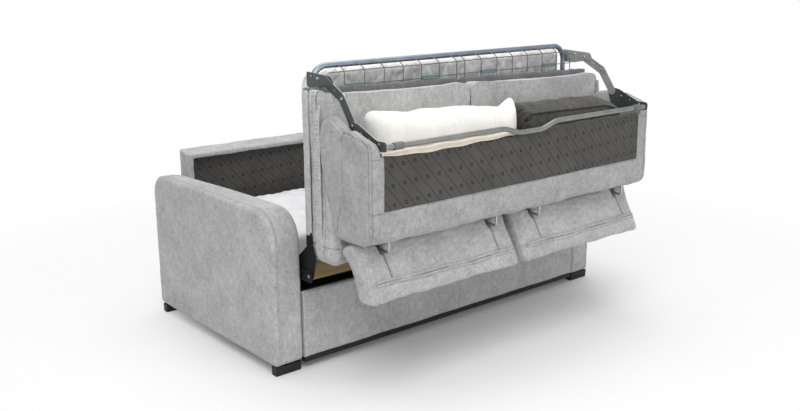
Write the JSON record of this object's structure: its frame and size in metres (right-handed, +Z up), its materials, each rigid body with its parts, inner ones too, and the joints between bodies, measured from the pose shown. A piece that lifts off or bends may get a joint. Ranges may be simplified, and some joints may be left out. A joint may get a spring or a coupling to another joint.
{
  "type": "sleeper sofa",
  "caption": "Upholstered sofa half opened into a bed: the seat stands upright with the bed frame behind it and the backrest folded onto it, headrests hanging from rods.",
  "frame": {"origin": "on the floor, in the middle of the sofa's width and of its depth as shown, half opened", "axes": "+X from the left arm to the right arm as seen from the front, +Y from the front to the rear, +Z up"},
  "size_m": [2.02, 1.522, 1.281],
  "materials": {
    "grey_fabric": "light grey mottled velour with a short pile",
    "dark_lining": "dark grey lining cloth with thin slanting stripes",
    "black_steel": "black powder coat, satin",
    "grey_steel": "grey coat, satin",
    "bright_steel": "bright plating",
    "white_ticking": "smooth white cloth",
    "quilt_ticking": "silvery quilted cloth",
    "pillow_cotton": "plain off-white cotton",
    "teal_plastic": "grey teal, matte",
    "grey_plastic": "mid grey, matte",
    "dark_wood": "near black brown stain",
    "pale_wood": "bare pale plywood"
  },
  "bodies": {
    "base": {"left_arm": "grey_fabric", "right_arm": "grey_fabric", "foot_front_left": "dark_wood", "foot_front_right": "dark_wood", "foot_rear_left": "dark_wood", "foot_rear_right": "dark_wood", "front_rail": "grey_fabric", "front_skirt": "dark_wood", "base_board": "dark_lining", "rear_panel": "grey_fabric", "rear_lining": "dark_lining", "base_plate_left": "black_steel", "base_plate_right": "black_steel", "tilt_pin_left": "bright_steel", "tilt_pin_right": "bright_steel", "lift_pin_left": "bright_steel", "lift_pin_right": "bright_steel", "base_cross_bar": "black_steel"},
    "tilt_arms": {"tilt_arm_left": "black_steel", "tilt_arm_right": "black_steel", "torque_tube": "black_steel"},
    "seat": {"seat_plate_left": "black_steel", "seat_plate_right": "black_steel", "seat_deck": "dark_lining", "seat_front_board": "pale_wood", "seat_cushion_left": "grey_fabric", "seat_cushion_right": "grey_fabric", "bed_frame_loop": "grey_steel", "bed_mesh": "grey_steel", "mesh_sleeve_outer_left": "teal_plastic", "mesh_sleeve_inner_left": "teal_plastic", "mesh_sleeve_inner_right": "teal_plastic", "mesh_sleeve_outer_right": "teal_plastic", "mattress_upper": "quilt_ticking", "link_bracket_left": "grey_steel", "link_bracket_right": "grey_steel", "upper_link_left": "grey_steel", "upper_link_right": "grey_steel"},
    "lift_links": {"lift_link_left": "black_steel", "lift_link_right": "black_steel"},
    "bed_head": {"head_frame": "grey_steel", "mattress_head": "white_ticking"},
    "back_links": {"lower_link_left": "grey_steel", "lower_link_right": "grey_steel"},
    "back": {"back_arm_left": "grey_steel", "back_arm_right": "grey_steel", "back_tube": "grey_steel", "tube_collar_left": "grey_plastic", "tube_collar_right": "grey_plastic", "back_shell": "grey_fabric", "back_lining": "dark_lining", "pillow": "pillow_cotton", "bedding_bag": "dark_lining", "headrest_hanger_left_inner": "bright_steel", "headrest_hanger_left_outer": "bright_steel", "headrest_hanger_right_inner": "bright_steel", "headrest_hanger_right_outer": "bright_steel"},
    "headrest_pad_left": {"headrest_left": "grey_fabric"},
    "headrest_pad_right": {"headrest_right": "grey_fabric"}
  },
  "joints": [
    {"name": "seat_tilt", "type": "hinge", "parent": "base", "child": "tilt_arms", "pos_m": [0, -0.336, 0.426], "axis": [1, 0, 0], "range_deg": [-90, 0]},
    {"name": "bed_unfold", "type": "hinge", "parent": "tilt_arms", "child": "seat", "pos_m": [0, -0.336, 0.426], "axis": [1, 0, 0], "range_deg": [0, 90]},
    {"name": "back_link_swing", "type": "hinge", "parent": "seat", "child": "back_links", "pos_m": [0, -0.486, 1.163], "axis": [1, 0, 0], "range_deg": [-200, 0]},
    {"name": "back_turn", "type": "hinge", "parent": "back_links", "child": "back", "pos_m": [0, -0.554, 1.068], "axis": [1, 0, 0], "range_deg": [0, 110]},
    {"name": "lift_swing", "type": "hinge", "parent": "base", "child": "lift_links", "pos_m": [0, 0.464, 0.225], "axis": [1, 0, 0], "range_deg": [0, 56.2]},
    {"name": "lift_level", "type": "hinge", "parent": "lift_links", "child": "bed_head", "pos_m": [0, 0.164, 0.385], "axis": [1, 0, 0], "range_deg": [-56.2, 0]},
    {"name": "headrest_left_tilt", "type": "hinge", "parent": "back", "child": "headrest_pad_left", "pos_m": [-0.43, -0.586, 0.59], "axis": [1, 0, 0], "range_deg": [-30, 0]},
    {"name": "headrest_right_tilt", "type": "hinge", "parent": "back", "child": "headrest_pad_right", "pos_m": [0.43, -0.586, 0.59], "axis": [1, 0, 0], "range_deg": [-30, 0]}
  ],
  "couplings": [
    {"joint": "back_turn", "follows": "back_link_swing", "ratio": -0.55},
    {"joint": "lift_swing", "follows": "seat_tilt", "ratio": -0.624},
    {"joint": "lift_level", "follows": "seat_tilt", "ratio": 0.624}
  ]
}
